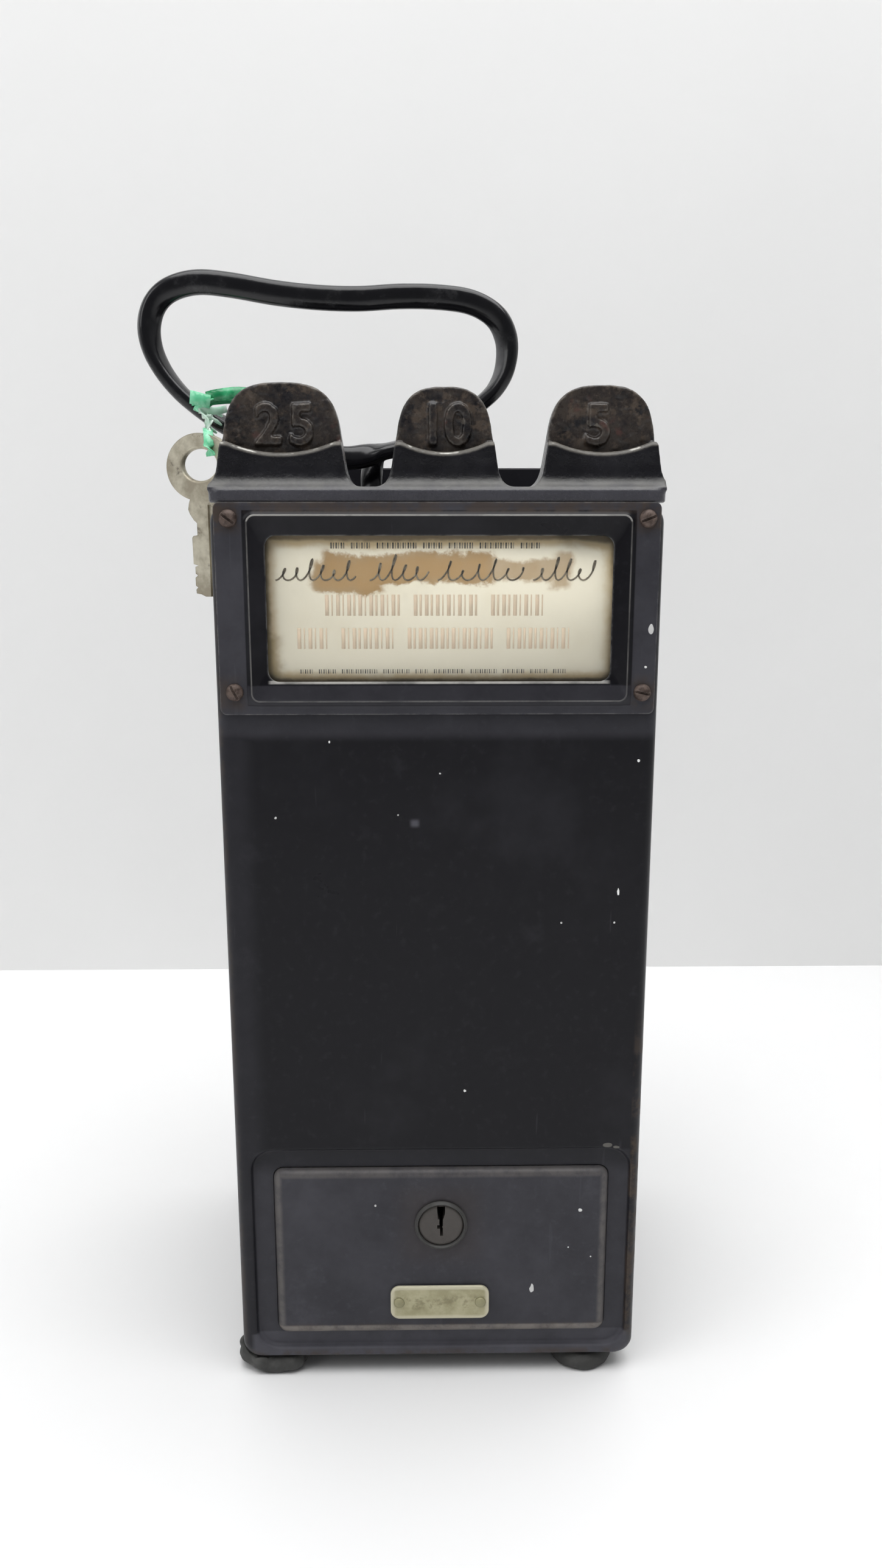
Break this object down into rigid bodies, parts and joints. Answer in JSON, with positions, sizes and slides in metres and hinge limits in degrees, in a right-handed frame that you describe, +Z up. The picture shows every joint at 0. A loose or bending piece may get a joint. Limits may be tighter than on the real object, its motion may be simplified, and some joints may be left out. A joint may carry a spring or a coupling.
{
  "type": "payphone coin collector",
  "caption": "Upright steel coin box of an early pay telephone: three coin gauges on top, card window, locked coin vault, looped cord with a hanging key.",
  "frame": {"origin": "centre of the foot of the box, on the surface that it stands on, without the cord, its tie and its key", "axes": "+Z up, -Y out of the front face with the card window and the vault door, +X to the right as seen from the front"},
  "size_m": [0.1307, 0.0938, 0.2818],
  "materials": {
    "black_enamel": "glossy black enamel, worn at the edges",
    "worn_casting": "black enamel worn down to brown metal",
    "steel": "dull",
    "rusty_steel": "rusty",
    "brass": "aged",
    "plate_metal": "dull, tarnished",
    "key_metal": "worn nickel plate",
    "rubber": "matt",
    "cord_jacket": "smooth, glossy",
    "tie_plastic": "translucent green",
    "clear_pane": "clear, dusty",
    "card_stock": "aged card"
  },
  "bodies": {
    "root": {"casing": "black_enamel", "back_plate": "black_enamel", "coin_head": "worn_casting", "window_frame": "black_enamel", "window_pane": "clear_pane", "number_card": "card_stock", "card_backing": "steel", "coin_hopper": "steel", "mech_plate": "steel", "bell_gong": "brass", "gong_post": "steel", "gong_screw": "brass", "cathedral_gong": "steel", "cathedral_post": "steel", "striker_pin": "steel", "transmitter": "black_enamel", "transmitter_bracket": "steel", "terminal_block": "rubber", "runner_left": "steel", "runner_right": "steel", "lock_keeper": "steel", "cord_bushing": "rubber", "cord": "cord_jacket", "key_tie": "tie_plastic", "frame_screw_1": "rusty_steel", "side_screw_1": "rusty_steel", "frame_screw_2": "rusty_steel", "side_screw_2": "rusty_steel", "frame_screw_3": "rusty_steel", "side_screw_3": "rusty_steel", "frame_screw_4": "rusty_steel", "side_screw_4": "rusty_steel", "head_screw_1": "rusty_steel", "terminal_screw_1": "brass", "head_screw_2": "rusty_steel", "terminal_screw_2": "brass", "coin_chute_25": "steel", "coin_chute_10": "steel", "coin_chute_5": "steel", "foot_front_left": "rubber", "foot_front_right": "rubber", "foot_rear_left": "rubber", "foot_rear_right": "rubber"},
    "vault_drawer": {"vault_door": "black_enamel", "coin_tray": "steel", "lock_barrel": "steel", "lock_nut": "steel", "number_plate": "plate_metal", "plate_rivet_left": "plate_metal", "plate_rivet_right": "plate_metal"},
    "lock_core": {"lock_plug": "brass", "lock_cam": "steel", "cam_screw": "steel"},
    "striker": {"striker_lever": "brass"},
    "hanging_key": {"key": "key_metal"}
  },
  "joints": [
    {"name": "vault_slide", "type": "slide", "parent": "root", "child": "vault_drawer", "axis": [0, -1, 0], "range_m": [0, 0.07]},
    {"name": "lock_turn", "type": "hinge", "parent": "vault_drawer", "child": "lock_core", "pos_m": [0.0007, -0.036, 0.0442], "axis": [0, 1, 0], "range_deg": [0, 90]},
    {"name": "striker_swing", "type": "hinge", "parent": "root", "child": "striker", "pos_m": [0.005, -0.018, 0.139], "axis": [0, 1, 0], "range_deg": [0, 14], "stiffness_Nm_per_rad": 0.02},
    {"name": "key_swing", "type": "hinge", "parent": "root", "child": "hanging_key", "pos_m": [-0.0601, 0.0107, 0.2346], "axis": [0.4067, 0.9136, 0], "range_deg": [-4, 35]}
  ]
}
